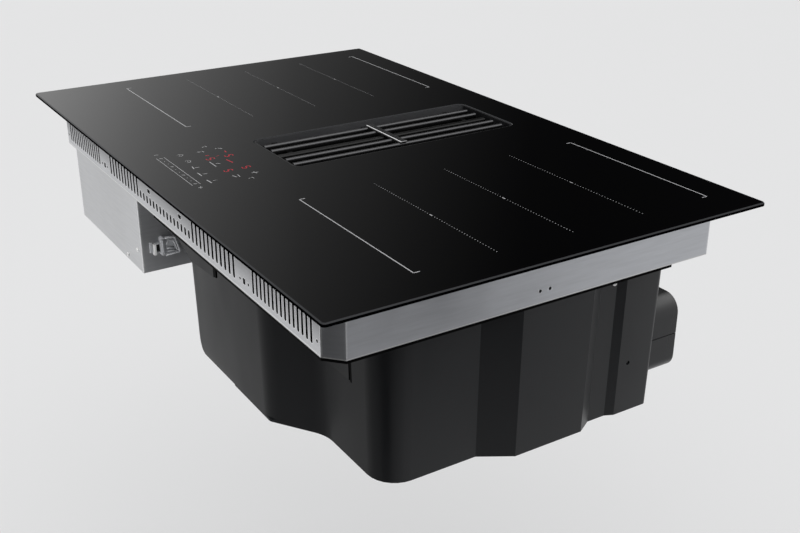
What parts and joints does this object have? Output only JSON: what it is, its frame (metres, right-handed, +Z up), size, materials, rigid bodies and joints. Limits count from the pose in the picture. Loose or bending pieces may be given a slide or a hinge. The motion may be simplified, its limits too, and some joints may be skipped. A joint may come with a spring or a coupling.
{
  "type": "downdraft induction cooktop",
  "caption": "Built-in induction cooktop with a lift-off intake grille over a filter unit, a fan housing and rear duct spigot below, and an electronics box",
  "frame": {"origin": "middle of the glass outline, in the top surface of the worktop it is let into", "axes": "+X to the cook's right along the glass, +Y away from the cook, +Z up"},
  "size_m": [0.83, 0.52, 0.232],
  "materials": {
    "black_glass": "glossy black ceramic glass",
    "seal_foam": "matte black foam",
    "intake_plastic": "satin black plastic",
    "grille_metal": "satin black enamel",
    "handle_steel": "brushed steel",
    "filter_frame": "matte black plastic",
    "filter_mesh": "stacked aluminium mesh",
    "casing_steel": "grey sheet steel, fine grain",
    "box_steel": "zinc-coated sheet steel",
    "screw_steel": "zinc-plated steel",
    "mica": "pale mica sheet",
    "coil_copper": "copper strand, varnished",
    "coil_plastic": "pale moulded plastic",
    "ferrite": "dark sintered ferrite",
    "coil_aluminium": "mill-finish sheet",
    "sensor_white": "white ceramic",
    "board_green": "green laminate",
    "digit_red": "red display window",
    "heatsink_aluminium": "extruded aluminium",
    "component_dark": "sleeved capacitors and wound chokes",
    "terminal_plastic": "grey moulded plastic",
    "fan_plastic": "black moulded plastic",
    "grommet_rubber": "black rubber",
    "clamp_plastic": "grey translucent plastic",
    "housing_plastic": "charcoal moulded plastic",
    "impeller_plastic": "dark grey moulded plastic",
    "motor_metal": "grey motor shell",
    "shaft_steel": "ground steel"
  },
  "bodies": {
    "chassis": {"glass_top": "black_glass", "worktop_seal": "seal_foam", "intake_liner": "intake_plastic", "casing_front": "casing_steel", "casing_rear": "casing_steel", "casing_side_left": "casing_steel", "casing_side_right": "casing_steel", "casing_floor": "casing_steel", "casing_screws": "screw_steel", "mica_sheet_left": "mica", "mica_sheet_right": "mica", "coil_sensors": "sensor_white", "coil_posts": "coil_plastic", "touch_frame": "intake_plastic", "touch_board": "board_green", "display_digits": "digit_red", "electronics_box": "box_steel", "box_side_cover": "box_steel", "box_screws": "screw_steel", "power_board": "board_green", "heatsink": "heatsink_aluminium", "power_components": "component_dark", "mains_filter_board": "board_green", "terminal_block": "terminal_plastic", "cooling_fan_frame": "fan_plastic", "cable_grommet": "grommet_rubber", "cable_clamp": "clamp_plastic", "housing_tub": "housing_plastic", "housing_lid": "housing_plastic", "housing_screws": "screw_steel", "outlet_upper": "housing_plastic", "outlet_lower": "housing_plastic", "air_divider": "housing_plastic", "inlet_ring": "housing_plastic", "motor_plate": "motor_metal", "motor_body": "motor_metal", "scroll_wall": "housing_plastic", "coil_winding_left_1": "coil_copper", "coil_winding_left_2": "coil_copper", "coil_winding_left_3": "coil_copper", "coil_winding_left_4": "coil_copper", "coil_carrier_left": "coil_plastic", "coil_ferrites_left": "ferrite", "coil_plate_left": "coil_aluminium", "coil_winding_right_1": "coil_copper", "coil_winding_right_2": "coil_copper", "coil_winding_right_3": "coil_copper", "coil_winding_right_4": "coil_copper", "coil_carrier_right": "coil_plastic", "coil_ferrites_right": "ferrite", "coil_plate_right": "coil_aluminium"},
    "grille_unit": {"grille": "grille_metal", "grille_handle": "handle_steel"},
    "filter_unit": {"filter_carrier": "filter_frame", "grease_filter_left": "filter_mesh", "grease_filter_right": "filter_mesh", "drip_tray": "filter_frame"},
    "impeller_rotor": {"impeller": "impeller_plastic", "motor_shaft": "shaft_steel"},
    "cooling_rotor": {"cooling_fan_rotor": "fan_plastic"}
  },
  "joints": [
    {"name": "grille_lift", "type": "slide", "parent": "chassis", "child": "grille_unit", "axis": [0, 0, 1], "range_m": [0, 0.16]},
    {"name": "filter_lift", "type": "slide", "parent": "chassis", "child": "filter_unit", "axis": [0, 0, 1], "range_m": [0, 0.14]},
    {"name": "impeller_spin", "type": "hinge", "parent": "chassis", "child": "impeller_rotor", "pos_m": [0.215, -0.01, -0.16], "axis": [0, 0, 1], "continuous": true},
    {"name": "cooling_fan_spin", "type": "hinge", "parent": "chassis", "child": "cooling_rotor", "pos_m": [-0.28, 0.045, -0.14], "axis": [0, 0, 1], "continuous": true}
  ],
  "couplings": [
    {"joint": "filter_lift", "follows": "grille_lift", "ratio": 0.875}
  ]
}
